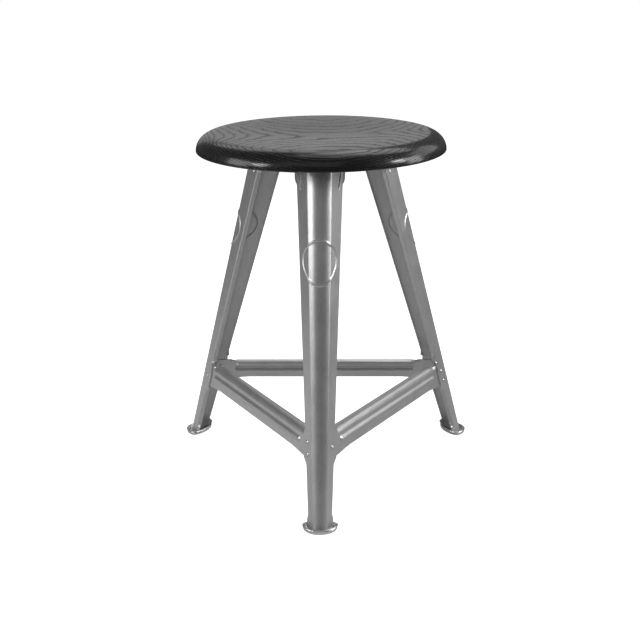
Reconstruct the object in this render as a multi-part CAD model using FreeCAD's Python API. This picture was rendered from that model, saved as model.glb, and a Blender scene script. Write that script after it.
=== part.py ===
import FreeCAD, Part
import math
import os

# Machinist stool: a round dished wooden seat on three pressed sheet-steel legs
# that are tied together by three pressed crossbars. Millimetres, +Z up.
# The row origin is the centre of the bounding box on the floor; the stool's
# own three-fold axis stands AXIS_Y in front of it. One leg points along -Y.

V = FreeCAD.Vector

# ---------------------------------------------------------------- dimensions
# seat
SEAT_R = 175.0            # outer radius
SEAT_TOP = 495.8          # height of the rim above the floor
SEAT_T = 26.0             # thickness at the rim
SEAT_EDGE_A = 25.0        # upper roundover, radial
SEAT_EDGE_B = 23.0        # upper roundover, vertical
SEAT_EDGE_LOW = 3.0       # lower edge radius
SEAT_DISH = 5.0           # depth of the hollow in the top

# mounting plate under the seat
PLATE_R = 113.0
PLATE_T = 2.5
SCREW_N_AZ = (72.0, 108.0, 192.0, 228.0, 312.0, 348.0)
SCREW_PCR = 95.0
SCREW_R = 2.2
SCREW_IN_SEAT = 18.0
SCREW_HEAD_R = 4.6
SCREW_HEAD_H = 3.0

# legs (all measured in level sections at height z)
LEG_AZ = {"front": 270.0, "left": 150.0, "right": 30.0}
LEG_T = 1.8               # sheet thickness
LEG_RF0, LEG_RF1 = 241.0, -0.291      # radius of the two folds: a + b z
LEG_WF0, LEG_WF1 = 18.4, 0.0316       # fold to fold width: a + b z
LEG_W0, LEG_W1 = 30.2, 0.0722         # overall width over the flanges: a + b z
LEG_CROWN = 42.0          # half angle of the crowned front, degrees
LEG_Z0 = 1.8              # the sheet stands on the floor of its shoe
# height, angle of the stiffening lip on each flange (90 = turned square into the
# channel, 0 = flat), width of the lip
LEG_STATIONS = ((LEG_Z0, 4.0, 4.9), (5.6, 10.0, 5.0), (8.3, 17.0, 6.8), (12.5, 29.0, 7.2), (17.5, 58.0, 7.2), (24.0, 90.0, 7.2),
                (78.0, 90.0, 7.2), (87.5, 0.0, 7.2),
                (108.0, 0.0, 7.0), (127.0, 0.0, 1.6), (130.5, 60.0, 7.2), (139.0, 90.0, 7.2),
                (434.0, 90.0, 7.2), (446.0, 40.0, 7.2), (467.3, 14.0, 7.2))
TAB_W, TAB_IN = 28.0, 66.0            # tab at the top of the leg: width, inner radius

# shoes
SHOE_RC, SHOE_RHO = 228.3, 23.4       # centre and radius of the round front, at the rim
SHOE_RK, SHOE_UK = 222.8, 21.6        # the two inner corners
SHOE_RI = 218.4                       # middle of the bowed inner edge
SHOE_H, SHOE_T = 5.4, 1.8
SHOE_FLARE = 1.5                      # the wall leans out by this much
SHOE_LOW = 0.9                        # lower edge
SHOE_SLIT = 1.5

# crossbars
BAR_AZ = {"rear": 90.0, "left": 210.0, "right": 330.0}
BAR_T = 1.8
BAR_LEAN = 0.1319         # the flange planes lean in by this per mm of height
BAR_P0 = 128.45           # distance of the flanges' outer plane from the axis at z = 0
BAR_Z_LOW = 91.9          # lower edge
BAR_ROLL_R = 9.3          # outer radius of the rolled top edge
BAR_ROLL_ANG = 150.0      # how far the edge is rolled over
BAR_FACE = 23.9           # flat height below the roll
BAR_END_H = (30.2, 28.4)  # height of the flat ends, where the roll stops and at the tip
BAR_END = 175.4           # half length at the lower edge
BAR_END_SLANT = 0.244     # the ends are cut parallel to the folds of the legs
BAR_FLARE = ((118.0, 0.0), (128.0, 0.55), (139.0, 1.7), (144.5, 2.4), (150.0, 2.9), (175.4, 3.1))   # the lower edge drops towards the ends
BAR_FLAT = 151.0          # the roll is fully flattened from here out
BAR_ROLLED = 134.0        # the roll is full inside here
BEAD_W, BEAD_H = 10.0, 2.5
BEAD_A = 15.0             # bead centre above the lower edge, along the face
BEAD_HALF = 137.0         # half length between the end centres

# rivets
RIV_R, RIV_HEAD_R, RIV_HEAD_H = 1.7, 3.2, 1.6
RIV_TAIL_R, RIV_TAIL_H = 3.0, 1.3
RIV_Z = {-1: (104.4,), 1: (95.2, 111.2)}      # one rivet at a bar's clockwise end, two at the other
RIV_IN = 4.3              # from the bend of the lip
RIV_GAP = 0.05            # radial play of the shank in its holes
TOPRIV_R, TOPRIV_HEAD_R, TOPRIV_HEAD_H = 2.5, 5.0, 2.6
TOPRIV_AT = (76.0, 94.0)

# ------------------------------------------------------------------- derived
AXIS_Y = (SHOE_RC + SHOE_RHO - SEAT_R) / 2.0
SEAT_BOTTOM = SEAT_TOP - SEAT_T
PLATE_Z = SEAT_BOTTOM - PLATE_T
C30, S30 = math.cos(math.radians(30)), math.sin(math.radians(30))
AXIS = V(0, AXIS_Y, 0)


def unit(az):
    a = math.radians(az)
    return V(math.cos(a), math.sin(a), 0)


def world(az, r, u, z):
    """point at radius r, sideways u, height z in the frame of one leg"""
    return AXIS + unit(az) * r + unit(az + 90.0) * u + V(0, 0, z)


def wire(points):
    return Part.makePolygon(list(points) + [points[0]])


def capsule(p, q, radius):
    d = q - p
    c = Part.makeCylinder(radius, d.Length, p, d)
    return c.fuse([Part.makeSphere(radius, p), Part.makeSphere(radius, q)])


def dome(radius, height, base, direction):
    """spherical cap standing on a disc of the given radius"""
    rs = (radius * radius + height * height) / (2.0 * height)
    centre = base - direction * (rs - height)
    cap = Part.makeSphere(rs, centre)
    cyl = Part.makeCylinder(radius * 1.02, height * 1.5, base, direction)
    return cap.common(cyl)


def clean(shape):
    s = shape.removeSplitter()
    return s if s.isValid() else shape


# ---------------------------------------------------------------------- seat
def make_seat():
    zt, zb, R = SEAT_TOP, SEAT_BOTTOM, SEAT_R
    crest = R - SEAT_EDGE_A
    pts = []
    for i in range(13):
        a = math.radians(90.0 * i / 12.0)
        pts.append(V(crest + SEAT_EDGE_A * math.sin(a), 0,
                     zt - SEAT_EDGE_B + SEAT_EDGE_B * math.cos(a)))
    edge = Part.BSplineCurve()
    edge.interpolate(pts, InitialTangent=V(1, 0, 0), FinalTangent=V(0, 0, -1))
    dish = []
    for i in range(13):
        t = i / 12.0
        dish.append(V(crest * t, 0, zt - SEAT_DISH * (1 - t * t) ** 2))
    top = Part.BSplineCurve()
    top.interpolate(dish, InitialTangent=V(1, 0, 0), FinalTangent=V(1, 0, 0))
    low_a = V(R, 0, zb + SEAT_EDGE_LOW)
    low_b = V(R - SEAT_EDGE_LOW, 0, zb)
    mid = V(R - SEAT_EDGE_LOW * (1 - math.sqrt(0.5)), 0, zb + SEAT_EDGE_LOW * (1 - math.sqrt(0.5)))
    edges = [top.toShape(), edge.toShape(),
             Part.Arc(low_a, mid, low_b).toShape(),
             Part.makeLine(low_b, V(0, 0, zb)),
             Part.makeLine(V(0, 0, zb), V(0, 0, zt - SEAT_DISH))]
    face = Part.Face(Part.Wire(edges))
    s = face.revolve(V(0, 0, 0), V(0, 0, 1), 360)
    s = s if s.ShapeType == "Solid" else Part.Solid(s.Shells[0])
    s.translate(AXIS)
    for az in SCREW_N_AZ:
        p = world(az, SCREW_PCR, 0, zb - 1)
        s = s.cut(Part.makeCylinder(SCREW_R + 0.05, SCREW_IN_SEAT + 2.0, p, V(0, 0, 1)))
    return s


# --------------------------------------------------------------------- plate
def make_plate():
    s = Part.makeCylinder(PLATE_R, PLATE_T, AXIS + V(0, 0, PLATE_Z))
    for az in SCREW_N_AZ:
        s = s.cut(Part.makeCylinder(SCREW_R + 0.4, PLATE_T + 2, world(az, SCREW_PCR, 0, PLATE_Z - 1)))
    for az in LEG_AZ.values():
        for r in TOPRIV_AT:
            s = s.cut(Part.makeCylinder(TOPRIV_R + RIV_GAP, PLATE_T + 2, world(az, r, 0, PLATE_Z - 1)))
    return s


# ---------------------------------------------------------------------- legs
def leg_section(az, z, lip_deg, lip_width):
    rf = LEG_RF0 + LEG_RF1 * z
    a = (LEG_WF0 + LEG_WF1 * z) / 2.0
    w = (LEG_W0 + LEG_W1 * z) / 2.0
    d = (w - a) / math.tan(math.radians(30))
    th = math.radians(LEG_CROWN)
    rc = a / math.sin(th)
    cr = rf - rc * math.cos(th)
    t = LEG_T
    n = (S30, C30)
    al = math.radians(lip_deg)
    dn = (-C30, S30)
    lip = (math.cos(al) * dn[0] - math.sin(al) * n[0], math.cos(al) * dn[1] - math.sin(al) * n[1])
    m = (math.cos(al) * n[0] + math.sin(al) * dn[0], math.cos(al) * n[1] + math.sin(al) * dn[1])
    F = (rf, a)
    E = (rf - d, w)
    L = (E[0] + lip_width * lip[0], E[1] + lip_width * lip[1])
    Li = (L[0] - t * m[0], L[1] - t * m[1])
    k = t / (1.0 + math.cos(al))
    Ei = (E[0] - k * (n[0] + m[0]), E[1] - k * (n[1] + m[1]))
    phi = math.radians(60) - math.acos((rc * math.cos(math.radians(60) - th) - t) / (rc - t))
    Fi = (cr + (rc - t) * math.cos(phi), (rc - t) * math.sin(phi))

    def P(q, s=1):
        return world(az, q[0], s * q[1], z)

    apex = world(az, cr + rc, 0, z)
    apex_i = world(az, cr + rc - t, 0, z)
    e = [Part.makeLine(P(L, -1), P(E, -1)), Part.makeLine(P(E, -1), P(F, -1)),
         Part.Arc(P(F, -1), apex, P(F)).toShape(),
         Part.makeLine(P(F), P(E)), Part.makeLine(P(E), P(L)), Part.makeLine(P(L), P(Li)),
         Part.makeLine(P(Li), P(Ei)), Part.makeLine(P(Ei), P(Fi)),
         Part.Arc(P(Fi), apex_i, P(Fi, -1)).toShape(),
         Part.makeLine(P(Fi, -1), P(Ei, -1)), Part.makeLine(P(Ei, -1), P(Li, -1)),
         Part.makeLine(P(Li, -1), P(L, -1))]
    return Part.Wire(e), F, E


def flange_point(az, side, z, inset):
    """point on the outer face of a flange, inset from the bend of its lip"""
    rf = LEG_RF0 + LEG_RF1 * z
    a = (LEG_WF0 + LEG_WF1 * z) / 2.0
    w = (LEG_W0 + LEG_W1 * z) / 2.0
    d = (w - a) / math.tan(math.radians(30))
    r = rf - d + inset * C30
    u = w - inset * S30
    return world(az, r, side * u, z)


def flange_normal(az, side):
    nb = unit(az + 60.0 * side)
    return (nb + V(0, 0, BAR_LEAN)).normalize()


def make_leg(az):
    parts = []
    secs = [leg_section(az, z, a, w)[0] for z, a, w in LEG_STATIONS]
    for lo, hi in zip(secs[:-1], secs[1:]):
        parts.append(Part.makeLoft([lo, hi], True, True))
    s = parts[0].fuse(parts[1:])
    # tab, turned in level under the plate
    zt = PLATE_Z
    rf = LEG_RF0 + LEG_RF1 * zt
    h = TAB_W / 2.0
    tab = Part.makeBox(rf + 1.5 - TAB_IN, TAB_W, LEG_T)
    tab.translate(V(TAB_IN, -h, 0))
    tab.rotate(V(0, 0, 0), V(0, 0, 1), az)
    tab.translate(AXIS + V(0, 0, zt - LEG_T))
    s = s.fuse(tab)
    for r in TOPRIV_AT:
        s = s.cut(Part.makeCylinder(TOPRIV_R + RIV_GAP, LEG_T + 2, world(az, r, 0, zt - LEG_T - 1)))
    for side in (-1, 1):
        n = flange_normal(az, side)
        for z in RIV_Z[-side]:
            p = flange_point(az, side, z, RIV_IN)
            s = s.cut(Part.makeCylinder(RIV_R + RIV_GAP, 8, p + n * 2, n * -1))
    return clean(s)


# --------------------------------------------------------------------- shoes
def shoe_wire(az, inset, z):
    rho, rk, uk, ri = SHOE_RHO - inset, SHOE_RK + 0.7 * inset, SHOE_UK - 0.9 * inset, SHOE_RI + inset

    def P(r, u):
        return world(az, r, u, z)

    rm, um = (SHOE_RC + rk) / 2.0, (rho + uk) / 2.0 + 0.25
    e = [Part.Arc(P(SHOE_RC, -rho), P(SHOE_RC + rho, 0), P(SHOE_RC, rho)).toShape(),
         Part.Arc(P(SHOE_RC, rho), P(rm, um), P(rk, uk)).toShape(),
         Part.Arc(P(rk, uk), P(ri, 0), P(rk, -uk)).toShape(),
         Part.Arc(P(rk, -uk), P(rm, -um), P(SHOE_RC, -rho)).toShape()]
    return Part.Wire(e)


def make_shoe(az):
    """shallow cup, a round front and a bowed inner edge, notched at its two inner corners"""
    s = Part.makeLoft([shoe_wire(az, SHOE_FLARE + SHOE_LOW, 0), shoe_wire(az, SHOE_FLARE, SHOE_LOW),
                       shoe_wire(az, 0, SHOE_H)], True, True)
    slope = SHOE_FLARE / (SHOE_H - SHOE_LOW)
    s = s.cut(Part.makeLoft([shoe_wire(az, SHOE_T + slope * (SHOE_H - SHOE_T), SHOE_T),
                             shoe_wire(az, SHOE_T - slope, SHOE_H + 1.0)], True, True))
    for side in (-1, 1):
        c = world(az, SHOE_RK + 3.0, side * (SHOE_UK - 3.0), SHOE_T)
        slit = Part.makeBox(9, SHOE_SLIT, SHOE_H)
        slit.translate(V(-1.0, -SHOE_SLIT / 2.0, 0))
        slit.rotate(V(0, 0, 0), V(0, 0, 1), az + 180.0 - 45.0 * side)
        slit.translate(c)
        s = s.cut(slit)
    return s


# ----------------------------------------------------------------- crossbars
LEAN_LEN = math.sqrt(1.0 + BAR_LEAN ** 2)


def bar_world(az, s, a, b):
    """s along the bar, a up the outer face from its lower edge, b outwards from it"""
    p0 = BAR_P0 - BAR_LEAN * BAR_Z_LOW - LEG_T * LEAN_LEN
    n = (unit(az) + V(0, 0, BAR_LEAN)) * (1.0 / LEAN_LEN)
    up = (V(0, 0, 1) - unit(az) * BAR_LEAN) * (1.0 / LEAN_LEN)
    return AXIS + unit(az) * p0 + V(0, 0, BAR_Z_LOW) + unit(az + 90.0) * s + up * a + n * b


def bar_flare(s):
    s = abs(s)
    if s <= BAR_FLARE[0][0]:
        return 0.0
    for (s0, f0), (s1, f1) in zip(BAR_FLARE[:-1], BAR_FLARE[1:]):
        if s <= s1:
            return f0 + (f1 - f0) * (s - s0) / (s1 - s0)
    return BAR_FLARE[-1][1]


def smooth(t):
    t = min(1.0, max(0.0, t))
    return t * t * (3 - 2 * t)


def bar_section(az, s):
    """sheet section: face with a rolled top edge, which opens to a flat strip towards the ends"""
    n = 12
    t = min(1.0, max(0.0, (abs(s) - BAR_ROLLED) / (BAR_FLAT - BAR_ROLLED)))
    ang = max(math.radians(BAR_ROLL_ANG) * (1 - smooth(t)), 0.02)
    tip = min(1.0, max(0.0, (abs(s) - BAR_FLAT) / (BAR_END - BAR_FLAT)))
    flat = BAR_END_H[0] + (BAR_END_H[1] - BAR_END_H[0]) * tip - BAR_FACE
    R = (BAR_ROLL_R + (flat - BAR_ROLL_R) * t) / math.sin(min(ang, math.pi / 2))
    slant = BAR_END_SLANT if abs(s) == BAR_END else 0.0
    low = -bar_flare(s)
    out = [(low, 0.0), (BAR_FACE, 0.0)]
    inn = [(low, -BAR_T), (BAR_FACE, -BAR_T)]
    for i in range(1, n + 1):
        a = ang * i / n
        out.append((BAR_FACE + R * math.sin(a), -R + R * math.cos(a)))
        inn.append((BAR_FACE + (R - BAR_T) * math.sin(a), -R + (R - BAR_T) * math.cos(a)))
    pts = out + inn[::-1]
    return wire([bar_world(az, s - math.copysign(slant, s) * a, a, b) for a, b in pts])


def make_bar(az):
    half = (118.0, 128.0, BAR_ROLLED, 138.5, 142.5, 146.0, 148.7, BAR_FLAT, BAR_END)
    secs = [bar_section(az, s) for s in [-s for s in half[::-1]] + list(half)]
    parts = [Part.makeLoft([a, b], True, True) for a, b in zip(secs[:-1], secs[1:])]
    s = parts[0].fuse(parts[1:])
    # pressed bead, proud outside and hollow behind
    rb = (BEAD_W * BEAD_W / 4.0 + BEAD_H * BEAD_H) / (2.0 * BEAD_H)
    depth = rb - BEAD_H
    p = bar_world(az, -BEAD_HALF, BEAD_A, -depth)
    q = bar_world(az, BEAD_HALF, BEAD_A, -depth)
    slab = Part.makeBox(2 * BEAD_HALF + 40, 30, 12)
    o = bar_world(az, -BEAD_HALF - 20, BEAD_A - 15, -BAR_T * 0.5)
    ex, ey = unit(az + 90.0), (V(0, 0, 1) - unit(az) * BAR_LEAN) * (1.0 / LEAN_LEN)
    ez = ex.cross(ey)
    m = FreeCAD.Matrix(ex.x, ey.x, ez.x, o.x, ex.y, ey.y, ez.y, o.y, ex.z, ey.z, ez.z, o.z, 0, 0, 0, 1)
    slab.Placement = FreeCAD.Placement(m)
    ridge = capsule(p, q, rb).common(slab)
    s = s.fuse(ridge).cut(capsule(p, q, rb - BAR_T))
    for side in (-1, 1):
        for z in RIV_Z[side]:
            a, leg = bar_end_rivet(az, side, z)
            n = flange_normal(leg[0], leg[1])
            s = s.cut(Part.makeCylinder(RIV_R + RIV_GAP, 10, a + n * 3, n * -1))
    return clean(s)


def bar_end_rivet(az, side, z):
    """rivet point where the bar with azimuth az meets a leg; side +1 is its anticlockwise end"""
    leg_az = (az + 60.0 * side) % 360.0
    leg_side = -side
    return flange_point(leg_az, leg_side, z, RIV_IN), (leg_az, leg_side)


# ------------------------------------------------------------ rivets, screws
def make_rivet(p, n):
    """shell rivet: domed head on the flange, smaller set head inside the bar"""
    shank = Part.makeCylinder(RIV_R, LEG_T + BAR_T + 0.4, p + n * 0.2, n * -1)
    head = dome(RIV_HEAD_R, RIV_HEAD_H, p, n)
    q = p - n * (LEG_T + BAR_T + 0.03)
    tail = dome(RIV_TAIL_R, RIV_TAIL_H, q, n * -1)
    return shank.fuse([head, tail])


def make_top_rivet(az, r):
    up, dn = V(0, 0, 1), V(0, 0, -1)
    base = world(az, r, 0, PLATE_Z - LEG_T)
    shank = Part.makeCylinder(TOPRIV_R, LEG_T + PLATE_T + 0.2, base - up * 0.2, up)
    return shank.fuse(dome(TOPRIV_HEAD_R, TOPRIV_HEAD_H, base, dn))


def make_screw(az):
    base = world(az, SCREW_PCR, 0, PLATE_Z)
    shank = Part.makeCylinder(SCREW_R, PLATE_T + SCREW_IN_SEAT - 4.0, base - V(0, 0, 0.3), V(0, 0, 1))
    tip = Part.makeCone(SCREW_R, 0.3, 4.0, base + V(0, 0, PLATE_T + SCREW_IN_SEAT - 4.3), V(0, 0, 1))
    head = dome(SCREW_HEAD_R, SCREW_HEAD_H, base, V(0, 0, -1))
    slot = Part.makeBox(12, 1.1, 1.4)
    slot.translate(V(-6, -0.55, 0))
    slot.rotate(V(0, 0, 0), V(0, 0, 1), az + 35)
    slot.translate(base - V(0, 0, SCREW_HEAD_H + 0.2))
    return shank.fuse([tip, head.cut(slot)])


# --------------------------------------------------------------------- write
def main():
    nodes = {"seat": make_seat(), "seat_mounting_plate": make_plate()}
    for name, az in LEG_AZ.items():
        nodes["leg_" + name] = make_leg(az)
        nodes["shoe_" + name] = make_shoe(az)
        nodes["top_rivets_leg_" + name] = Part.makeCompound([make_top_rivet(az, r) for r in TOPRIV_AT])
    for name, az in BAR_AZ.items():
        nodes["crossbar_" + name] = make_bar(az)
    leg_at = {v: k for k, v in LEG_AZ.items()}
    for bar, az in BAR_AZ.items():
        for side in (-1, 1):
            group = []
            for z in RIV_Z[side]:
                p, leg = bar_end_rivet(az, side, z)
                group.append(make_rivet(p, flange_normal(leg[0], leg[1])))
            nodes["rivets_crossbar_%s_to_leg_%s" % (bar, leg_at[leg[0]])] = Part.makeCompound(group)
    nodes["seat_screws"] = Part.makeCompound([make_screw(az) for az in SCREW_N_AZ])

    os.makedirs("parts", exist_ok=True)
    for name in sorted(nodes):
        shape = nodes[name]
        bb = shape.BoundBox
        print("%-40s solids %d valid %s volume %.1f  z %.2f..%.2f" % (
            name, len(shape.Solids), shape.isValid(), shape.Volume, bb.ZMin, bb.ZMax))
        shape.exportStep("parts/" + name + ".step")


main()
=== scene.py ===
import math
import bpy
import bmesh
import numpy as np
from mathutils import Matrix, Vector

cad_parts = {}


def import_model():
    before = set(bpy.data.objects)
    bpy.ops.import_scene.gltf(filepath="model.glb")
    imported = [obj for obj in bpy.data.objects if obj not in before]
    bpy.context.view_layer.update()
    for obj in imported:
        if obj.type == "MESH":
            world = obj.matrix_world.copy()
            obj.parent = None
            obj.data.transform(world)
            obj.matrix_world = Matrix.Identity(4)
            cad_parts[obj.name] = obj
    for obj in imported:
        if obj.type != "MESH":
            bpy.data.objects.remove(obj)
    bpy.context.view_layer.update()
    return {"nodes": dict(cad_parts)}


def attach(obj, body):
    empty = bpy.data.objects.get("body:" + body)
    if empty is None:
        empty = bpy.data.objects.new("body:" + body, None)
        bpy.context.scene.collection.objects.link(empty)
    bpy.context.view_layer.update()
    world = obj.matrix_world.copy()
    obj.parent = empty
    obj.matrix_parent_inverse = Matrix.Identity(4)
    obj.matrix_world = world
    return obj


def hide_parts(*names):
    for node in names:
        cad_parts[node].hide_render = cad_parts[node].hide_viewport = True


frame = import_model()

MM = 0.001
RAD = math.radians

# ------------------------------------------------------------------ dimensions (mm)
AXIS_Y = 38.35
SEAT_R, SEAT_TOP, SEAT_T = 175.0, 495.8, 26.0
SEAT_EDGE_A, SEAT_EDGE_B, SEAT_LOW_A, SEAT_LOW_B, SEAT_DISH = 25.0, 23.0, 11.0, 3.0, 5.0
PLATE_R, PLATE_T = 113.0, 2.5
PLATE_Z = SEAT_TOP - SEAT_T - PLATE_T
LEG_AZ = {"front": 270.0, "left": 150.0, "right": 30.0}
LEG_T = 1.8
CROWN = RAD(42.0)
LEG_Z0 = 1.8
# height, lip angle, lip width
LIPS = ((1.8, 4.0, 4.9), (5.6, 7.0, 5.0), (8.3, 12.0, 6.6), (11.3, 18.0, 7.2), (13.9, 25.0, 7.2),
        (16.6, 60.0, 7.2), (18.6, 90.0, 7.2),
        (75.5, 90.0, 7.2), (78.5, 45.0, 7.2), (80.5, 25.0, 7.2), (84.3, 13.0, 7.2), (89.0, 0.0, 7.2),
        (108.0, 0.0, 7.0), (127.0, 0.0, 1.7), (130.5, 60.0, 7.2), (139.0, 90.0, 7.2),
        (433.5, 90.0, 7.2), (436.6, 35.0, 7.2), (440.0, 15.5, 7.2), (444.5, 6.0, 7.2), (467.3, 4.0, 7.2))
TAB_W, TAB_IN = 28.0, 66.0
SHOE_RC, SHOE_RHO, SHOE_RK, SHOE_UK, SHOE_RI = 227.6, 24.1, 222.8, 21.6, 218.4
SHOE_H, SHOE_T, SHOE_BEAD, SHOE_SLIT = 6.3, 1.8, 1.7, 1.6
BAR_AZ = {"rear": 90.0, "left": 210.0, "right": 330.0}
BAR_T, BAR_LEAN, BAR_P0, BAR_Z_LOW = 1.8, 0.1319, 128.45, 91.9
BAR_ROLL_R, BAR_ROLL_ANG, BAR_FACE, BAR_END_H = 9.3, RAD(150.0), 23.9, (30.2, 28.4)
BAR_END, BAR_SLANT, BAR_FLAT, BAR_ROLLED = 175.4, 0.244, 151.0, 134.0
BAR_FLARE = ((118.0, 0.0), (128.0, 0.55), (139.0, 1.7), (144.5, 2.4), (150.0, 2.9), (177.0, 3.1))
BEAD_W, BEAD_H, BEAD_A, BEAD_HALF = 10.0, 2.5, 15.0, 137.0
RIV_Z, RIV_IN = {-1: (104.4,), 1: (95.2, 111.2)}, 4.3
TOPRIV_AT = (76.0, 94.0)
LEAN_LEN = math.sqrt(1 + BAR_LEAN ** 2)


def unit(az):
    a = RAD(az)
    return np.array([math.cos(a), math.sin(a), 0.0])


UP = np.array([0.0, 0.0, 1.0])
AXIS = np.array([0.0, AXIS_Y, 0.0])


def world(az, r, u, z):
    return AXIS + unit(az) * r + unit(az + 90.0) * u + UP * z


def smooth01(t):
    t = min(1.0, max(0.0, t))
    return t * t * (3 - 2 * t)


def table_at(rows, x, column):
    if x <= rows[0][0]:
        return rows[0][column]
    for p, q in zip(rows[:-1], rows[1:]):
        if x <= q[0]:
            t = (x - p[0]) / (q[0] - p[0])
            return p[column] + (q[column] - p[column]) * t
    return rows[-1][column]


# ------------------------------------------------------------------ mesh helpers
def make_object(name, verts, faces, materials, sharp=38.0):
    me = bpy.data.meshes.new(name)
    me.from_pydata([tuple(v * MM) for v in verts], [], faces)
    me.validate()
    bm = bmesh.new()
    bm.from_mesh(me)
    bmesh.ops.remove_doubles(bm, verts=bm.verts, dist=2e-7)
    bmesh.ops.recalc_face_normals(bm, faces=bm.faces)
    bm.to_mesh(me)
    bm.free()
    me.polygons.foreach_set("use_smooth", [True] * len(me.polygons))
    me.set_sharp_from_angle(angle=RAD(sharp))
    for m in materials:
        me.materials.append(m)
    o = bpy.data.objects.new(name, me)
    bpy.context.scene.collection.objects.link(o)
    return o


def edge_points(o, i, o_prev, i_prev, r):
    """rounded sheet edge between outer point o and inner point i"""
    out = (o - o_prev) / np.linalg.norm(o - o_prev)
    thick = o - i
    n = thick / np.linalg.norm(thick)
    c = 0.30
    return [o - out * r, o - out * r * c - n * r * c * 0.45, o - n * r, i + n * r, i - out * r * c + n * r * c * 0.45, i - out * r]


def sheet_loft(outer, inner, r=0.45):
    """verts and faces of a closed sheet from two (M, N, 3) grids; the two long edges are rounded"""
    M, N = outer.shape[:2]
    verts, faces = [], []
    K = None
    for m in range(M):
        o, i = outer[m], inner[m]
        a = edge_points(o[-1], i[-1], o[-2], i[-2], r)
        b = edge_points(o[0], i[0], o[1], i[1], r)
        loop = [p for p in o[1:-1]] + a + [p for p in i[1:-1][::-1]] + b[::-1]
        K = len(loop)
        verts.extend(loop)
    for m in range(M - 1):
        for k in range(K):
            k2 = (k + 1) % K
            faces.append((m * K + k, m * K + k2, (m + 1) * K + k2, (m + 1) * K + k))
    n = N - 2
    for m in (0, M - 1):
        base = m * K
        out_i = list(range(0, n))
        in_i = list(range(n + 6, n + 6 + n))[::-1]
        for k in range(n - 1):
            faces.append((base + out_i[k], base + out_i[k + 1], base + in_i[k + 1], base + in_i[k]))
        faces.append(tuple(base + x for x in [out_i[-1], n, n + 1, n + 2, n + 3, n + 4, n + 5, in_i[-1]]))
        tail = [2 * n + 6 + j for j in range(6)]
        faces.append(tuple(base + x for x in [in_i[0]] + tail + [out_i[0]]))
    return verts, faces


def lathe(profile, centre, axis, segments, close=False):
    """profile: list of (radius, height along axis); revolved about axis through centre"""
    axis = np.array(axis, float)
    axis /= np.linalg.norm(axis)
    h = np.array([1.0, 0, 0]) if abs(axis[0]) < 0.9 else np.array([0, 1.0, 0])
    e1 = np.cross(axis, h)
    e1 /= np.linalg.norm(e1)
    e2 = np.cross(axis, e1)
    verts, faces, rings = [], [], []
    for rr, hh in profile:
        if rr < 1e-6:
            rings.append([len(verts)])
            verts.append(centre + axis * hh)
        else:
            idx = []
            for s in range(segments):
                a = 2 * math.pi * s / segments
                idx.append(len(verts))
                verts.append(centre + axis * hh + (e1 * math.cos(a) + e2 * math.sin(a)) * rr)
            rings.append(idx)
    pairs = list(zip(rings[:-1], rings[1:]))
    if close:
        pairs.append((rings[-1], rings[0]))
    for p, q in pairs:
        if len(p) == 1 and len(q) == 1:
            continue
        for s in range(segments):
            s2 = (s + 1) % segments
            if len(p) == 1:
                faces.append((p[0], q[s], q[s2]))
            elif len(q) == 1:
                faces.append((p[s], p[s2], q[0]))
            else:
                faces.append((p[s], p[s2], q[s2], q[s]))
    return verts, faces


def merge(parts):
    verts, faces = [], []
    for v, f in parts:
        off = len(verts)
        verts.extend(v)
        faces.extend([tuple(x + off for x in face) for face in f])
    return verts, faces


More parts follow.
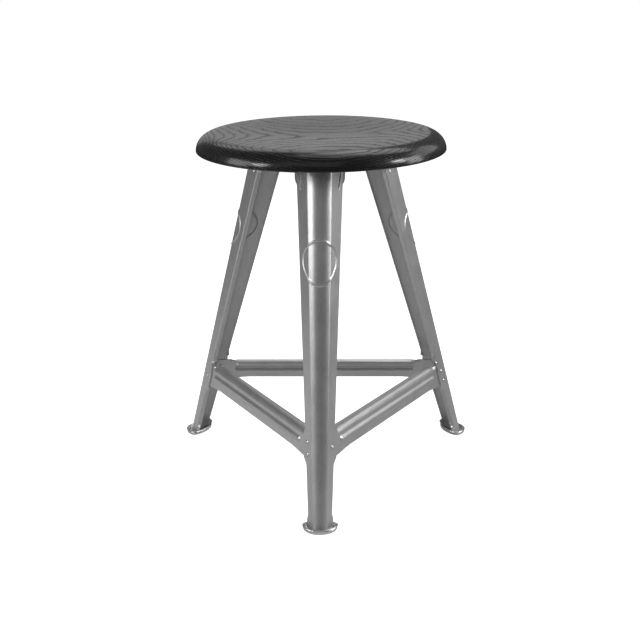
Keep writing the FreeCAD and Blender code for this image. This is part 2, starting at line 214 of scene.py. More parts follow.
# ------------------------------------------------------------------ materials
class Tree:
    def __init__(self, name):
        self.mat = bpy.data.materials.new(name)
        self.mat.use_nodes = True
        self.nt = self.mat.node_tree
        self.nt.nodes.clear()
        self.out = self.nt.nodes.new("ShaderNodeOutputMaterial")
        self.coord = self.nt.nodes.new("ShaderNodeTexCoord").outputs["Object"]

    def new(self, kind, **values):
        n = self.nt.nodes.new(kind)
        for k, v in values.items():
            setattr(n, k, v)
        return n

    def link(self, a, b):
        self.nt.links.new(a, b)

    def mapping(self, scale, loc=(0, 0, 0), rot=(0, 0, 0), vec=None):
        n = self.new("ShaderNodeMapping")
        n.inputs["Scale"].default_value = scale
        n.inputs["Location"].default_value = loc
        n.inputs["Rotation"].default_value = rot
        self.link(vec or self.coord, n.inputs["Vector"])
        return n.outputs["Vector"]

    def noise(self, vec, scale, detail=3.0, rough=0.5, distortion=0.0):
        n = self.new("ShaderNodeTexNoise")
        n.inputs["Scale"].default_value = scale
        n.inputs["Detail"].default_value = detail
        n.inputs["Roughness"].default_value = rough
        n.inputs["Distortion"].default_value = distortion
        self.link(vec, n.inputs["Vector"])
        return n.outputs["Fac"]

    def math(self, op, a, b=None, c=None, clamp=False):
        n = self.new("ShaderNodeMath", operation=op, use_clamp=clamp)
        for i, x in enumerate((a, b, c)):
            if x is None:
                continue
            if isinstance(x, (int, float)):
                n.inputs[i].default_value = x
            else:
                self.link(x, n.inputs[i])
        return n.outputs[0]

    def range(self, x, a, b, c, d, kind="LINEAR"):
        n = self.new("ShaderNodeMapRange", interpolation_type=kind)
        n.clamp = True
        self.link(x, n.inputs["Value"])
        for key, v in (("From Min", a), ("From Max", b), ("To Min", c), ("To Max", d)):
            if isinstance(v, (int, float)):
                n.inputs[key].default_value = v
            else:
                self.link(v, n.inputs[key])
        return n.outputs["Result"]

    def ramp(self, x, stops):
        n = self.new("ShaderNodeValToRGB")
        el = n.color_ramp.elements
        while len(el) < len(stops):
            el.new(0.5)
        for e, (p, c) in zip(el, stops):
            e.position = p
            e.color = (c[0], c[1], c[2], 1)
        self.link(x, n.inputs["Fac"])
        return n.outputs["Color"]

    def bump(self, height, strength, distance, normal=None):
        n = self.new("ShaderNodeBump")
        n.inputs["Strength"].default_value = strength
        n.inputs["Distance"].default_value = distance
        self.link(height, n.inputs["Height"])
        if normal is not None:
            self.link(normal, n.inputs["Normal"])
        return n.outputs["Normal"]

    def principled(self, **sockets):
        n = self.new("ShaderNodeBsdfPrincipled")
        for k, v in sockets.items():
            s = n.inputs[k.replace("_", " ")]
            if hasattr(v, "is_output"):
                self.link(v, s)
            else:
                s.default_value = v
        self.link(n.outputs["BSDF"], self.out.inputs["Surface"])
        return n


def grey(v):
    return (v, v, v)


def steel(name, base=0.50, rough=0.30, grain_axis=(1, 1, 1), speck=1.0, coat=0.15, metal=0.76):
    """bare satin sheet steel: fine grain, faint clouding, rolling streaks"""
    t = Tree(name)
    streak_vec = t.mapping(grain_axis)
    fine = t.noise(t.coord, 2600.0, 2.0, 0.6)
    mid = t.noise(t.coord, 620.0, 3.0, 0.6)
    cloud = t.noise(t.coord, 34.0, 4.0, 0.55, 0.3)
    streak = t.noise(streak_vec, 1.0, 3.0, 0.6)
    tone = t.math("ADD", t.math("MULTIPLY", fine, 0.42), t.math("MULTIPLY", mid, 0.30))
    tone = t.math("ADD", tone, t.math("MULTIPLY", streak, 0.14))
    tone = t.math("ADD", tone, t.math("MULTIPLY", cloud, 0.14))
    k = 0.30 * speck
    colour = t.ramp(tone, ((0.28, grey(base * (1 - k))), (0.50, grey(base)), (0.74, grey(min(1.0, base * (1 + k))))))
    r = t.range(t.math("ADD", t.math("MULTIPLY", cloud, 0.5), t.math("MULTIPLY", mid, 0.5)), 0.3, 0.7, rough - 0.05, rough + 0.06)
    height = t.math("ADD", t.math("MULTIPLY", fine, 0.55), t.math("MULTIPLY", mid, 0.45))
    n1 = t.bump(height, 0.22 * speck, 0.00022)
    n2 = t.bump(cloud, 0.25, 0.0006, n1)
    t.principled(Base_Color=colour, Metallic=metal, Roughness=r, Normal=n2, Coat_Weight=coat, Coat_Roughness=0.22)
    return t.mat


def black_wood(name):
    """near-black stained ring-porous hardwood, plain sawn, grain along X, satin lacquer"""
    t = Tree(name)
    sep = t.new("ShaderNodeSeparateXYZ")
    t.link(t.coord, sep.inputs[0])
    x, y, z = sep.outputs[0], sep.outputs[1], sep.outputs[2]
    warp = t.noise(t.mapping((5.5, 13.0, 13.0), (3.1, 1.7, 0.4)), 1.0, 3.0, 0.5)
    wave = t.noise(t.mapping((22.0, 60.0, 60.0), (1.1, 0.7, 2.4)), 1.0, 3.0, 0.55)
    fray = t.noise(t.mapping((22.0, 380.0, 380.0)), 1.0, 3.0, 0.6)
    # growth rings: level across the middle, so the hollow cuts pointed arches that
    # open to the left and to the right, and steeper towards the front and the back
    xs = t.math("MULTIPLY", t.math("ADD", x, -0.010), 1 / 0.058)
    ys = t.math("MULTIPLY", t.math("SUBTRACT", t.math("ADD", y, -0.0307), t.math("MULTIPLY", x, 0.2)), 1 / 0.012)
    g = t.math("MULTIPLY", t.math("SQRT", t.math("ADD", t.math("MULTIPLY", ys, ys), 1.0)), 0.37)
    rho = t.math("ADD", g, t.math("MULTIPLY", t.math("ADD", z, -0.4958), 1 / 0.0030))
    rho = t.math("SUBTRACT", rho, t.math("MULTIPLY", xs, xs))
    rho = t.math("ADD", rho, t.math("MULTIPLY", warp, 2.6))
    rho = t.math("ADD", rho, t.math("MULTIPLY", wave, 0.7))
    rho = t.math("ADD", rho, t.math("MULTIPLY", fray, 0.34))
    ring = t.math("FRACT", t.math("ADD", rho, 60.0))
    early = t.range(ring, 0.0, 0.42, 1.0, 0.0, "SMOOTHSTEP")
    late = t.range(ring, 0.93, 1.0, 0.0, 1.0, "SMOOTHSTEP")
    band = t.math("MAXIMUM", early, late)
    pores = t.noise(t.mapping((34.0, 1700.0, 1700.0)), 1.0, 2.0, 0.6)
    pores2 = t.noise(t.mapping((48.0, 900.0, 900.0), (7.0, 2.0, 1.0)), 1.0, 2.0, 0.5)
    pore = t.math("MULTIPLY", t.math("SUBTRACT", pores, t.range(band, 0.0, 1.0, 0.66, 0.48)), 8.0, clamp=True)
    pore_b = t.math("MULTIPLY", t.math("SUBTRACT", pores2, t.range(band, 0.0, 1.0, 0.72, 0.52)), 8.0, clamp=True)
    pore = t.math("MAXIMUM", pore, pore_b)
    fibre = t.noise(t.mapping((16.0, 700.0, 700.0), (1.0, 5.0, 3.0)), 1.0, 3.0, 0.6)
    shade = t.math("ADD", t.math("MULTIPLY", band, -0.30), t.math("MULTIPLY", fibre, 0.35))
    shade = t.math("SUBTRACT", t.math("ADD", shade, 0.5), t.math("MULTIPLY", pore, 0.35))
    colour = t.ramp(shade, ((0.05, grey(0.0010)), (0.45, grey(0.0030)), (0.80, grey(0.0070))))
    # the bands fade in and out over the board
    fade = t.range(t.noise(t.mapping((9.0, 22.0, 22.0), (4.0, 9.0, 2.0)), 1.0, 2.0, 0.5), 0.36, 0.60, 0.10, 0.56)
    fade = t.math("MULTIPLY", fade, t.range(y, 0.03, 0.15, 1.0, 0.30, "SMOOTHSTEP"))
    soft = t.math("MULTIPLY", band, fade)
    dull = t.math("MAXIMUM", soft, t.math("MULTIPLY", pore, 0.8))
    gloss = t.math("SUBTRACT", t.range(dull, 0.0, 1.0, 1.0, 0.40), t.math("MULTIPLY", pore, 0.12), clamp=True)
    rough = t.range(dull, 0.0, 1.0, 0.17, 0.34)
    height = t.math("SUBTRACT", t.math("MULTIPLY", fibre, 0.14), t.math("ADD", t.math("MULTIPLY", pore, 0.45), t.math("MULTIPLY", soft, 0.60)))
    n1 = t.bump(height, 1.0, 0.00020)
    t.principled(Base_Color=colour, Roughness=0.6, Normal=n1, Specular_IOR_Level=0.1,
                 Coat_Weight=gloss, Coat_Roughness=rough, Coat_IOR=1.52, Coat_Normal=n1)
    return t.mat


M_LEG = steel("steel_leg", 0.56, 0.37, (420.0, 420.0, 14.0))
M_BAR = steel("steel_crossbar", 0.56, 0.35, (60.0, 60.0, 500.0))
M_SHOE = steel("steel_shoe", 0.78, 0.25, (300.0, 300.0, 300.0), 0.5, 0.25, 0.95)
M_RIVET = steel("steel_rivet", 0.55, 0.24, (300.0, 300.0, 300.0), 0.5, 0.3)
M_PLATE = steel("steel_plate", 0.34, 0.42, (420.0, 20.0, 420.0), 1.0, 0.0)
M_SCREW = steel("steel_screw", 0.55, 0.30, (300.0, 300.0, 300.0), 0.7, 0.0)
M_WOOD = black_wood("wood_black_stain")


# ------------------------------------------------------------------ seat
def build_seat():
    prof = []
    crest = SEAT_R - SEAT_EDGE_A
    for i in range(40):
        t = i / 40.0
        prof.append((crest * t, SEAT_TOP - SEAT_DISH * (1 - t * t) ** 2))
    for i in range(33):
        a = RAD(90.0 * i / 32)
        prof.append((crest + SEAT_EDGE_A * math.sin(a), SEAT_TOP - SEAT_EDGE_B + SEAT_EDGE_B * math.cos(a)))
    zb = SEAT_TOP - SEAT_T
    for i in range(1, 15):
        a = RAD(90.0 * i / 14)
        prof.append((SEAT_R - SEAT_LOW_A * (1 - math.cos(a)), zb + SEAT_LOW_B * (1 - math.sin(a))))
    for i in range(1, 9):
        prof.append(((SEAT_R - SEAT_LOW_A) * (1 - i / 8.0), zb))
    v, f = lathe(prof, AXIS, (0, 0, 1), 240)
    o = make_object("seat_disc", v, f, [M_WOOD], 60)
    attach(o, "root")
    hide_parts("seat")


# ------------------------------------------------------------------ legs
RING_U, RING_Z, RING_C = 22.3, 29.2, 344.8      # plain oval bead on the crown: half width, half height, centre


def leg_numbers(z):
    rf = 241.0 - 0.291 * z
    a = (18.4 + 0.0316 * z) / 2
    w = (31.0 + 0.0699 * z) / 2
    return rf, a, w, (w - a) * math.tan(RAD(60.0))


def leg_half(z):
    """outer half section at height z: points (r, u), normal angles, and the index of the last flange point, where the
    bend of the lip starts
    """
    rf, a, w, d = leg_numbers(z)
    beta = RAD(max(table_at(LIPS, z, 1), 0.01))
    lipw = table_at(LIPS, z, 2)
    rc = a / math.sin(CROWN)
    cr = rf - rc * math.cos(CROWN)
    fold = 2.6
    lc = rc * CROWN
    th_a = CROWN * (1 - fold / 2 / lc)
    pts, ang, kind = [], [], []
    p = np.array([cr + rc, 0.0])
    th = 0.0

    def arc(R, th0, th1, n, p0, skip=True):
        res = []
        for i in range(1 if skip else 0, n + 1):
            t = th0 + (th1 - th0) * i / n
            res.append((p0 + R * np.array([math.cos(t) - math.cos(th0), math.sin(t) - math.sin(th0)]), t))
        return res

    seq = [(p.copy(), 0.0)]
    seq += arc(rc, 0.0, th_a, 26, p)
    p = seq[-1][0]
    f60 = RAD(60.0)
    seq += arc(fold / (f60 - th_a), th_a, f60, 6, p)
    p = seq[-1][0]
    tan60 = np.array([-math.sin(f60), math.cos(f60)])
    rb = 2.0
    lb = max(rb * beta, 0.8)
    T = (lb / beta) * math.tan(beta / 2) if beta > 0.02 else lb / 2
    end = np.array([rf - d, w])
    # the bend rounds the corner off, so it sits a little further out to keep the width
    arc_r = lb / beta
    if beta > RAD(30.0):
        reach = -T * math.cos(f60) + arc_r * (1 - math.sin(f60))
        end = end + tan60 * max(0.0, -reach / math.cos(f60))
    length = float((end - p) @ tan60) - T
    n_fl = 40
    for i in range(1, n_fl + 1):
        t = i / n_fl
        t = t + 0.25 * math.sin(math.pi * t) * t * (1 - t)
        seq.append((p + tan60 * length * t, f60))
    flange_end = len(seq) - 1
    p = seq[-1][0]
    seq += arc(lb / beta, f60, f60 + beta, 8, p)
    p = seq[-1][0]
    th1 = f60 + beta
    tl = np.array([-math.sin(th1), math.cos(th1)])
    rest = max(lipw - T, 0.5)
    for i in range(1, 6):
        seq.append((p + tl * rest * i / 5, th1))
    q = np.array([s[0] for s in seq])
    return q, np.array([s[1] for s in seq]), flange_end


def leg_levels():
    zs = [LEG_Z0]

    def run(z1, step):
        n = max(1, int(math.ceil((z1 - zs[-1]) / step)))
        z0 = zs[-1]
        for i in range(1, n + 1):
            zs.append(z0 + (z1 - z0) * i / n)

    run(28.0, 1.1)
    run(74.5, 5.0)
    run(89.5, 0.75)
    run(126.0, 2.0)
    run(140.0, 0.7)
    run(RING_C - RING_Z - 3.5, 6.0)
    run(RING_C + RING_Z + 3.5, 0.75)
    run(430.0, 5.0)
    run(PLATE_Z - 0.05, 0.8)
    return zs


def dart(z, q, flange_end):
    """pressed V at the top of each flange: displacement along the normal for each point of the half section"""
    h = np.zeros(len(q))
    if z < 433.0:
        return h
    k = (z - 433.0) / 20.0
    e = q[flange_end]
    lo, hi = 9.0 - 4.5 * k, 9.8 + min(3.4 * k, 4.6)        # from the bend of the lip, inwards
    m, hw = (lo + hi) / 2, (hi - lo) / 2
    for i in range(33, flange_end + 1):
        x = abs(np.linalg.norm(q[i] - e) - m) - hw
        if x < 0.9:
            h[i] = -2.1 * smooth01(k * 2.2 + 0.2) * smooth01((0.9 - x) / 1.5)
    return h


def build_leg(name, az):
    zs = leg_levels()
    outer, inner = [], []
    for z in zs:
        q, th, fe = leg_half(z)
        n = np.stack([np.cos(th), np.sin(th)], 1)
        h = dart(z, q, fe)
        if abs(z - RING_C) < RING_Z + 4:
            for i in range(len(q)):
                if i > fe:
                    break
                U, Zv = q[i, 1] / RING_U, (z - RING_C) / RING_Z
                fval = math.hypot(U, Zv)
                gu = U / (RING_U * max(fval, 1e-6)) * abs(math.cos(th[i]))
                gz = Zv / (RING_Z * max(fval, 1e-6))
                dist = (fval - 1) / max(math.hypot(gu, gz), 1e-6)
                h[i] += 0.95 * math.exp(-(dist / 1.0) ** 2) + 0.12 * smooth01(-dist / 1.6 + 0.5)
        o = q + n * h[:, None]
        t_in = o - n * LEG_T
        full = lambda s: np.concatenate([(s * np.array([1, -1]))[::-1][:-1], s])
        O, I = full(o), full(t_in)
        outer.append([world(az, r, u, z) for r, u in O])
        inner.append([world(az, r, u, z) for r, u in I])
    outer, inner = np.array(outer), np.array(inner)
    body = sheet_loft(outer, inner)
    # tab turned in level under the plate, with a rounded bend
    rf = 241.0 - 0.291 * PLATE_Z
    x1 = rf + 0.6
    zt = PLATE_Z
    prof_o, prof_i = [], []
    for i in range(9):
        a = RAD(90.0 * i / 8)
        prof_o.append((x1 - 2.4 + 2.4 * math.cos(a), zt - 2.4 + 2.4 * math.sin(a)))
        prof_i.append((x1 - 2.4 + 0.6 * math.cos(a), zt - 2.4 + 0.6 * math.sin(a)))
    prof_o = [(x1 + 1.0, zt - 9.0), (x1, zt - 4.0)] + prof_o + [(x1 - 2.4 - (x1 - 2.4 - TAB_IN) * i / 6, zt) for i in range(1, 7)]
    prof_i = [(x1 - 0.8, zt - 9.0), (x1 - 1.8, zt - 4.0)] + prof_i + [(x1 - 2.4 - (x1 - 2.4 - TAB_IN) * i / 6, zt - 1.8) for i in range(1, 7)]
    go, gi = [], []
    for (ro, zo), (ri, zi) in zip(prof_o, prof_i):
        k = smooth01((TAB_IN + 7.0 - ro) / 7.0)
        half = TAB_W / 2 - 5.0 * k * k
        us = np.linspace(-half, half, 9)
        go.append([world(az, ro, u, zo) for u in us])
        gi.append([world(az, ri, u, zi) for u in us])
    tab = sheet_loft(np.array(go), np.array(gi))
    v, f = merge([body, tab])
    o = make_object("leg_sheet_" + name, v, f, [M_LEG], 40)
    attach(o, "root")
    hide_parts("leg_" + name)


# ------------------------------------------------------------------ crossbars
def bar_world(az, s, a, b):
    p0 = BAR_P0 - BAR_LEAN * BAR_Z_LOW - LEG_T * LEAN_LEN
    n = (unit(az) + UP * BAR_LEAN) / LEAN_LEN
    up = (UP - unit(az) * BAR_LEAN) / LEAN_LEN
    return AXIS + unit(az) * p0 + UP * BAR_Z_LOW + unit(az + 90.0) * s + up * a + n * b


def bar_stations():
    ss = [0.0]

    def run(s1, step):
        n = max(1, int(math.ceil((s1 - ss[-1]) / step)))
        s0 = ss[-1]
        for i in range(1, n + 1):
            ss.append(s0 + (s1 - s0) * i / n)

    run(118.0, 6.0)
    run(131.0, 1.6)
    run(143.0, 0.6)
    run(152.0, 0.9)
    run(BAR_END, 4.0)
    return [-s for s in ss[:0:-1]] + ss


def build_bar(name, az):
    outer, inner = [], []
    for s in bar_stations():
        t = min(1.0, max(0.0, (abs(s) - BAR_ROLLED) / (BAR_FLAT - BAR_ROLLED)))
        ang = max(BAR_ROLL_ANG * (1 - smooth01(t)), 0.02)
        tip = min(1.0, max(0.0, (abs(s) - BAR_FLAT) / (BAR_END - BAR_FLAT)))
        flat = BAR_END_H[0] + (BAR_END_H[1] - BAR_END_H[0]) * tip - BAR_FACE
        R = (BAR_ROLL_R + (flat - BAR_ROLL_R) * t) / math.sin(min(ang, math.pi / 2))
        low = -table_at(BAR_FLARE, abs(s), 1)
        slant = BAR_SLANT if abs(s) > BAR_END - 0.01 else 0.0
        row_o, row_i = [], []
        n_face = 46
        for i in range(n_face + 1):
            a = low + (BAR_FACE - low) * i / n_face
            # bead: a rounded ridge with soft feet, closed in a round at each end
            ds = max(0.0, abs(s) - BEAD_HALF)
            dist = math.hypot(ds, a - BEAD_A)
            hb = BEAD_H * (1 - smooth01((dist - 0.6) / (BEAD_W / 2 - 0.2)))
            da = 0.01
            dist2 = math.hypot(ds, a + da - BEAD_A)
            hb2 = BEAD_H * (1 - smooth01((dist2 - 0.6) / (BEAD_W / 2 - 0.2)))
            slope = (hb2 - hb) / da
            nrm = np.array([-slope, 1.0]) / math.hypot(slope, 1.0)
            row_o.append((a, hb))
            row_i.append((a - nrm[0] * BAR_T, hb - nrm[1] * BAR_T))
        for i in range(1, 23):
            t = ang * i / 22
            row_o.append((BAR_FACE + R * math.sin(t), -R + R * math.cos(t)))
            row_i.append((BAR_FACE + (R - BAR_T) * math.sin(t), -R + (R - BAR_T) * math.cos(t)))
        outer.append([bar_world(az, s - math.copysign(slant, s) * a, a, b) for a, b in row_o])
        inner.append([bar_world(az, s - math.copysign(slant, s) * a, a, b) for a, b in row_i])
    v, f = sheet_loft(np.array(outer), np.array(inner))
    o = make_object("crossbar_sheet_" + name, v, f, [M_BAR], 40)
    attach(o, "root")
    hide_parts("crossbar_" + name)


# ------------------------------------------------------------------ shoes
def arc3(p, m, q, n):
    """points of the circle arc from p through m to q, without p"""
    (x1, y1), (x2, y2), (x3, y3) = p, m, q
    a = np.array([[2 * (x2 - x1), 2 * (y2 - y1)], [2 * (x3 - x1), 2 * (y3 - y1)]])
    c = np.linalg.solve(a, np.array([x2 ** 2 - x1 ** 2 + y2 ** 2 - y1 ** 2, x3 ** 2 - x1 ** 2 + y3 ** 2 - y1 ** 2]))
    r = math.hypot(x1 - c[0], y1 - c[1])
    t1, t2, t3 = [math.atan2(y - c[1], x - c[0]) for x, y in (p, m, q)]
    while t2 < t1:
        t2 += 2 * math.pi
    while t3 < t1:
        t3 += 2 * math.pi
    if t2 > t3:
        t3 -= 2 * math.pi
    return [(c[0] + r * math.cos(t1 + (t3 - t1) * i / n), c[1] + r * math.sin(t1 + (t3 - t1) * i / n)) for i in range(1, n + 1)]


def shoe_outline(inset):
    """closed outline of the shoe in (r, u), this far in from the rim"""
    rho, rk, uk, ri = SHOE_RHO - inset, SHOE_RK + 0.7 * inset, SHOE_UK - 0.9 * inset, SHOE_RI + inset
    pts = []
    for i in range(65):
        a = RAD(-90.0 + 180.0 * i / 64)
        pts.append((SHOE_RC + rho * math.cos(a), rho * math.sin(a)))
    rm, um = (SHOE_RC + rk) / 2, (rho + uk) / 2 + 0.25
    side = arc3((SHOE_RC, rho), (rm, um), (rk + 0.8, uk + 0.2), 6)
    inner = arc3((rk + 0.2, uk - 0.9), (ri, 0.0), (rk + 0.2, -uk + 0.9), 36)
    pts += side
    pts += [(rk + 0.3, uk), (rk + 0.1, uk - 0.4), (rk + 0.2, uk - 0.9)]
    pts += inner[:-1]
    pts += [(rk + 0.2, -uk + 0.9), (rk + 0.1, -uk + 0.4), (rk + 0.3, -uk)]
    pts += [(r, -u) for r, u in side[::-1]]
    return pts


def build_shoe(name, az):
    prof = [(12.0, 0.0), (2.6, 0.0)]
    for i in range(1, 7):
        a = RAD(90.0 * i / 6)
        prof.append((2.1 - 1.2 * math.sin(a), 1.0 - 1.0 * math.cos(a)))
    prof += [(0.85, 1.9), (0.95, 2.6)]
    for i in range(0, 19):
        a = RAD(-52.0 + 262.0 * i / 18)
        prof.append((SHOE_BEAD - SHOE_BEAD * math.cos(a), SHOE_H - SHOE_BEAD + SHOE_BEAD * math.sin(a)))
    for i in range(0, 6):
        a = RAD(90.0 * i / 5)
        prof.append((2.95 + 0.9 * (1 - math.cos(a)), SHOE_T + 0.9 - 0.9 * math.sin(a)))
    prof += [(5.6, SHOE_T), (12.0, SHOE_T)]
    verts, faces = [], []
    n = len(shoe_outline(0.0))
    for inset, z in prof:
        for r, u in shoe_outline(inset):
            verts.append(world(az, r, u, z))
    for k in range(len(prof) - 1):
        for j in range(n):
            j2 = (j + 1) % n
            faces.append((k * n + j, k * n + j2, (k + 1) * n + j2, (k + 1) * n + j))
    faces.append(tuple(range(n)))
    faces.append(tuple(range((len(prof) - 1) * n, len(prof) * n)))
    o = make_object("shoe_cup_" + name, verts, faces, [M_SHOE], 50)
    # slits at both inner corners
    cut_parts = []
    for side in (-1, 1):
        c = world(az, SHOE_RK + 3.0, side * (SHOE_UK - 3.0), SHOE_T + 0.3)
        d = unit(az + 180.0 - 45.0 * side)
        e = np.cross(UP, d)
        vs = []
        for hh in (0.0, SHOE_H):
            for x, y in ((-1.6, -SHOE_SLIT / 2), (8.0, -SHOE_SLIT / 2), (8.0, SHOE_SLIT / 2), (-1.6, SHOE_SLIT / 2)):
                vs.append(c + d * x + e * y + UP * hh)
        cut_parts.append((vs, [(0, 3, 2, 1), (4, 5, 6, 7), (0, 1, 5, 4), (1, 2, 6, 5), (2, 3, 7, 6), (3, 0, 4, 7)]))
    v, f = merge(cut_parts)
    cutter = make_object("cutter", v, f, [M_SHOE], 30)
    mod = o.modifiers.new("slits", "BOOLEAN")
    mod.operation = "DIFFERENCE"
    mod.solver = "EXACT"
    mod.object = cutter
    dg = bpy.context.evaluated_depsgraph_get()
    me = bpy.data.meshes.new_from_object(o.evaluated_get(dg))
    o.modifiers.clear()
    old = o.data
    o.data = me
    bpy.data.meshes.remove(old)
    bpy.data.objects.remove(cutter)
    me.polygons.foreach_set("use_smooth", [True] * len(me.polygons))
    me.set_sharp_from_angle(angle=RAD(50))
    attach(o, "root")
    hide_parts("shoe_" + name)


# ------------------------------------------------------------------ rivets
def flange_point(az, side, z, inset):
    rf, a, w, d = leg_numbers(z)
    return world(az, rf - d + inset * math.cos(RAD(30)), side * (w - inset * 0.5), z)


def flange_normal(az, side):
    n = unit(az + 60.0 * side) + UP * BAR_LEAN
    return n / np.linalg.norm(n)


def dome_profile(R, H, n=9, skirt=0.35):
    rs = (R * R + H * H) / (2 * H)
    amax = math.asin(min(1.0, R / rs))
    pts = [(0.0, H)]
    for i in range(1, n + 1):
        a = amax * i / n
        pts.append((rs * math.sin(a), H - rs * (1 - math.cos(a))))
    return pts


def rivet_parts(p, n, R, H, tail_r, tail_h, depth):
    head = dome_profile(R, H)
    head[-1] = (R, 0.18)
    head += [(R - 0.10, 0.0), (R - 0.6, -0.05), (0.0, -0.05)]
    parts = [lathe(head, p, n, 28)]
    if tail_r:
        tail = dome_profile(tail_r, tail_h)
        tail[-1] = (tail_r, 0.15)
        tail += [(tail_r - 0.1, 0.0), (0.0, 0.0)]
        parts.append(lathe(tail, p - n * (depth + 0.03), -n, 24))
        parts.append(lathe([(0.0, 0.0), (1.9, 0.0), (1.9, depth + 0.02), (0.0, depth + 0.02)], p, -n, 16))
    return parts


def build_rivets():
    leg_at = {v: k for k, v in LEG_AZ.items()}
    for bar, az in BAR_AZ.items():
        for side in (-1, 1):
            leg_az, leg_side = (az + 60.0 * side) % 360.0, -side
            parts = []
            for z in RIV_Z[side]:
                parts += rivet_parts(flange_point(leg_az, leg_side, z, RIV_IN), flange_normal(leg_az, leg_side), 3.1, 1.5, 2.9, 1.25, LEG_T + BAR_T)
            v, f = merge(parts)
            node = "rivets_crossbar_%s_to_leg_%s" % (bar, leg_at[leg_az])
            o = make_object("set_" + node, v, f, [M_RIVET], 50)
            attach(o, "root")
            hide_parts(node)


# ------------------------------------------------------------------ plate under the seat
def build_plate():
    z0, z1 = PLATE_Z, PLATE_Z + PLATE_T - 0.02
    prof = [(0.0, z1), (PLATE_R - 0.8, z1)]
    for i in range(1, 5):
        a = RAD(90.0 * i / 4)
        prof.append((PLATE_R - 0.8 + 0.8 * math.sin(a), z1 - 0.8 + 0.8 * math.cos(a)))
    for i in range(0, 5):
        a = RAD(90.0 * i / 4)
        prof.append((PLATE_R - 0.8 + 0.8 * math.cos(a), z0 + 0.8 - 0.8 * math.sin(a)))
    # a shallow pressed ring stiffens the plate
    for rr, hh in ((101.0, 0.0), (30.0, 0.0), (28.0, 0.12), (26.0, 0.5), (24.0, 0.62), (12.0, 0.62)):
        prof.append((rr, z0 + hh))
    prof.append((0.0, z0 + 0.62))
    v, f = lathe(prof, AXIS, (0, 0, 1), 128)
    o = make_object("plate_disc", v, f, [M_PLATE], 50)
    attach(o, "root")
    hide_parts("seat_mounting_plate")


def paint_node(node, mat):
    o = frame["nodes"][node]
    o.data.materials.clear()
    o.data.materials.append(mat)
    o.data.polygons.foreach_set("use_smooth", [True] * len(o.data.polygons))


build_seat()
for leg, azimuth in LEG_AZ.items():
    build_leg(leg, azimuth)
    build_shoe(leg, azimuth)
for bar_name, azimuth in BAR_AZ.items():
    build_bar(bar_name, azimuth)
build_rivets()
build_plate()
for leg in LEG_AZ:
    paint_node("top_rivets_leg_" + leg, M_RIVET)
paint_node("seat_screws", M_SCREW)


# ------------------------------------------------------------------ floor and light
def build_floor():
    me = bpy.data.meshes.new("floor")
    s = 9.0
    me.from_pydata([(-s, -s, 0), (s, -s, 0), (s, s, 0), (-s, s, 0)], [], [(0, 1, 2, 3)])
    o = bpy.data.objects.new("floor", me)
    bpy.context.scene.collection.objects.link(o)
    m = bpy.data.materials.new("floor_pale")
    m.use_nodes = True
    nt = m.node_tree
    nt.nodes.clear()
    out = nt.nodes.new("ShaderNodeOutputMaterial")
    path = nt.nodes.new("ShaderNodeLightPath")
    mix = nt.nodes.new("ShaderNodeMixShader")
    # what the object sees of the floor: a painted pool of light that falls off outwards, and a faint painted glow in
    # the same pattern
    coord = nt.nodes.new("ShaderNodeTexCoord")
    dist = nt.nodes.new("ShaderNodeVectorMath")
    dist.operation = "LENGTH"
    away = nt.nodes.new("ShaderNodeVectorMath")
    away.operation = "ADD"
    away.inputs[1].default_value = (0.75, 0.35, 0.0)
    nt.links.new(coord.outputs["Object"], away.inputs[0])
    nt.links.new(away.outputs["Vector"], dist.inputs[0])
    # painted light pool: the floor colour for the object goes from 0.68 near the pool centre to 0.20 outwards
    painted_light_pool = nt.nodes.new("ShaderNodeMapRange")
    painted_light_pool.interpolation_type = "SMOOTHSTEP"
    painted_light_pool.inputs["From Min"].default_value = 0.50
    painted_light_pool.inputs["From Max"].default_value = 1.70
    painted_light_pool.inputs["To Min"].default_value = 0.68
    painted_light_pool.inputs["To Max"].default_value = 0.20
    nt.links.new(dist.outputs["Value"], painted_light_pool.inputs["Value"])
    bounce = nt.nodes.new("ShaderNodeBsdfDiffuse")
    nt.links.new(painted_light_pool.outputs["Result"], bounce.inputs["Color"])
    # painted glow: the floor emits a little light in the pattern of the painted pool, though it is no lamp
    painted_glow = nt.nodes.new("ShaderNodeEmission")
    painted_glow.inputs["Strength"].default_value = 0.12
    nt.links.new(painted_light_pool.outputs["Result"], painted_glow.inputs["Color"])
    dim = nt.nodes.new("ShaderNodeAddShader")
    nt.links.new(bounce.outputs[0], dim.inputs[0])
    nt.links.new(painted_glow.outputs[0], dim.inputs[1])
    white = nt.nodes.new("ShaderNodeAddShader")
    em = nt.nodes.new("ShaderNodeEmission")
    em.inputs["Color"].default_value = (1, 1, 1, 1)
    em.inputs["Strength"].default_value = 0.94
    df = nt.nodes.new("ShaderNodeBsdfDiffuse")
    df.inputs["Color"].default_value = (0.8, 0.8, 0.8, 1)
    nt.links.new(em.outputs[0], white.inputs[0])
    nt.links.new(df.outputs[0], white.inputs[1])
    nt.links.new(path.outputs["Is Camera Ray"], mix.inputs[0])
    nt.links.new(dim.outputs[0], mix.inputs[1])
    nt.links.new(white.outputs[0], mix.inputs[2])
    nt.links.new(mix.outputs[0], out.inputs["Surface"])
    me.materials.append(m)


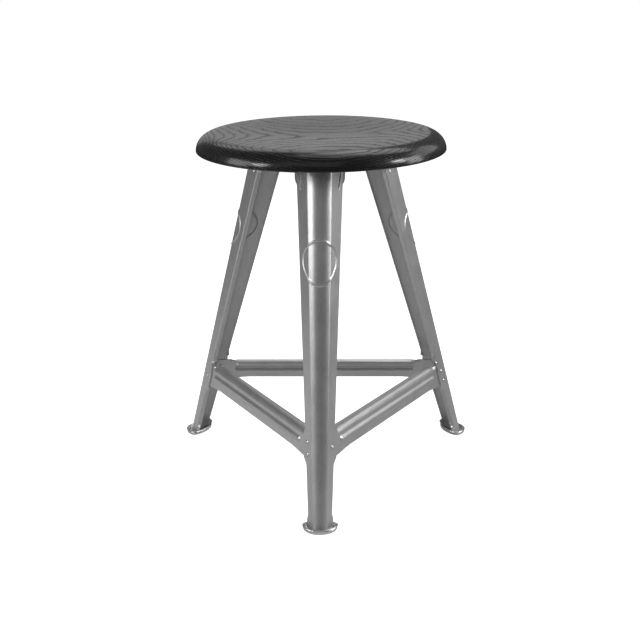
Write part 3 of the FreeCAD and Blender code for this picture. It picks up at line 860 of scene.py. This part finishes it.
def build_world():
    w = bpy.data.worlds.new("studio")
    bpy.context.scene.world = w
    w.use_nodes = True
    nt = w.node_tree
    nt.nodes.clear()
    out = nt.nodes.new("ShaderNodeOutputWorld")
    path = nt.nodes.new("ShaderNodeLightPath")
    mix = nt.nodes.new("ShaderNodeMixShader")
    dim = nt.nodes.new("ShaderNodeBackground")
    dim.inputs["Color"].default_value = (1, 1, 1, 1)
    dim.inputs["Strength"].default_value = 0.10
    white = nt.nodes.new("ShaderNodeBackground")
    white.inputs["Color"].default_value = (1, 1, 1, 1)
    white.inputs["Strength"].default_value = 1.0
    nt.links.new(path.outputs["Is Camera Ray"], mix.inputs[0])
    nt.links.new(dim.outputs[0], mix.inputs[1])
    nt.links.new(white.outputs[0], mix.inputs[2])
    nt.links.new(mix.outputs[0], out.inputs["Surface"])


def area(name, azimuth, elevation, distance, size_x, size_y, power, target=(0.0, 0.04, 0.27)):
    """soft box seen from the stool at this azimuth (0 is +X, 270 towards the camera) and elevation"""
    light = bpy.data.lights.new(name, "AREA")
    light.shape = "RECTANGLE"
    light.size, light.size_y = size_x, size_y
    light.energy = power
    o = bpy.data.objects.new(name, light)
    bpy.context.scene.collection.objects.link(o)
    a, e = RAD(azimuth), RAD(elevation)
    d = Vector((math.cos(a) * math.cos(e), math.sin(a) * math.cos(e), math.sin(e)))
    t = Vector(target)
    o.location = t + d * distance
    o.rotation_mode = "QUATERNION"
    o.rotation_quaternion = (-d).to_track_quat("-Z", "Y")
    o.visible_camera = False
    return o


build_floor()
build_world()
area("softbox_left", 194.0, 18.0, 1.9, 0.74, 0.90, 7.4)
area("softbox_left_core", 216.0, 21.5, 1.9, 0.44, 0.42, 7.0)
area("softbox_right", 1.0, 15.0, 1.9, 0.56, 0.98, 8.5)
area("softbox_right_core", 344.0, 23.5, 1.9, 0.38, 0.42, 7.5)
area("panel_back_right", 28.0, 30.0, 1.9, 1.15, 0.80, 3.7)
area("panel_top_right", 54.0, 60.0, 1.9, 1.25, 0.8, 6.4)
area("panel_top", 60.0, 82.0, 1.9, 0.9, 0.9, 3.0)
area("panel_back", 100.0, 17.0, 1.9, 1.3, 0.75, 1.15)
area("panel_back_top", 104.0, 44.0, 1.9, 1.2, 0.8, 2.7)
area("panel_front_top", 262.0, 40.0, 1.9, 1.6, 0.8, 1.3)


# ------------------------------------------------------------------ camera
def build_camera():
    cam = bpy.data.cameras.new("camera")
    o = bpy.data.objects.new("camera", cam)
    bpy.context.scene.collection.objects.link(o)
    bpy.context.scene.camera = o
    cam.sensor_fit = "HORIZONTAL"
    cam.sensor_width = 36.0
    cam.lens = 1297.9 / 640.0 * 36.0
    cam.shift_x = -2.695 / 640.0
    cam.clip_start, cam.clip_end = 0.05, 60.0
    cam.dof.use_dof = False
    fw = Vector((-0.0246, 0.9536, -0.2999)).normalized()
    rt = fw.cross(Vector((0, 0, 1))).normalized()
    up = rt.cross(fw)
    roll = RAD(-0.511)
    right = rt * math.cos(roll) + up * math.sin(roll)
    top = -rt * math.sin(roll) + up * math.cos(roll)
    m = Matrix((right, top, -fw)).transposed().to_4x4()
    m.translation = Vector((0.0466, -1.76645, 0.7879))
    o.matrix_world = m


build_camera()
scene = bpy.context.scene
scene.view_settings.view_transform = "Standard"
scene.view_settings.look = "None"
scene.view_settings.exposure = 0.0
scene.view_settings.gamma = 1.0
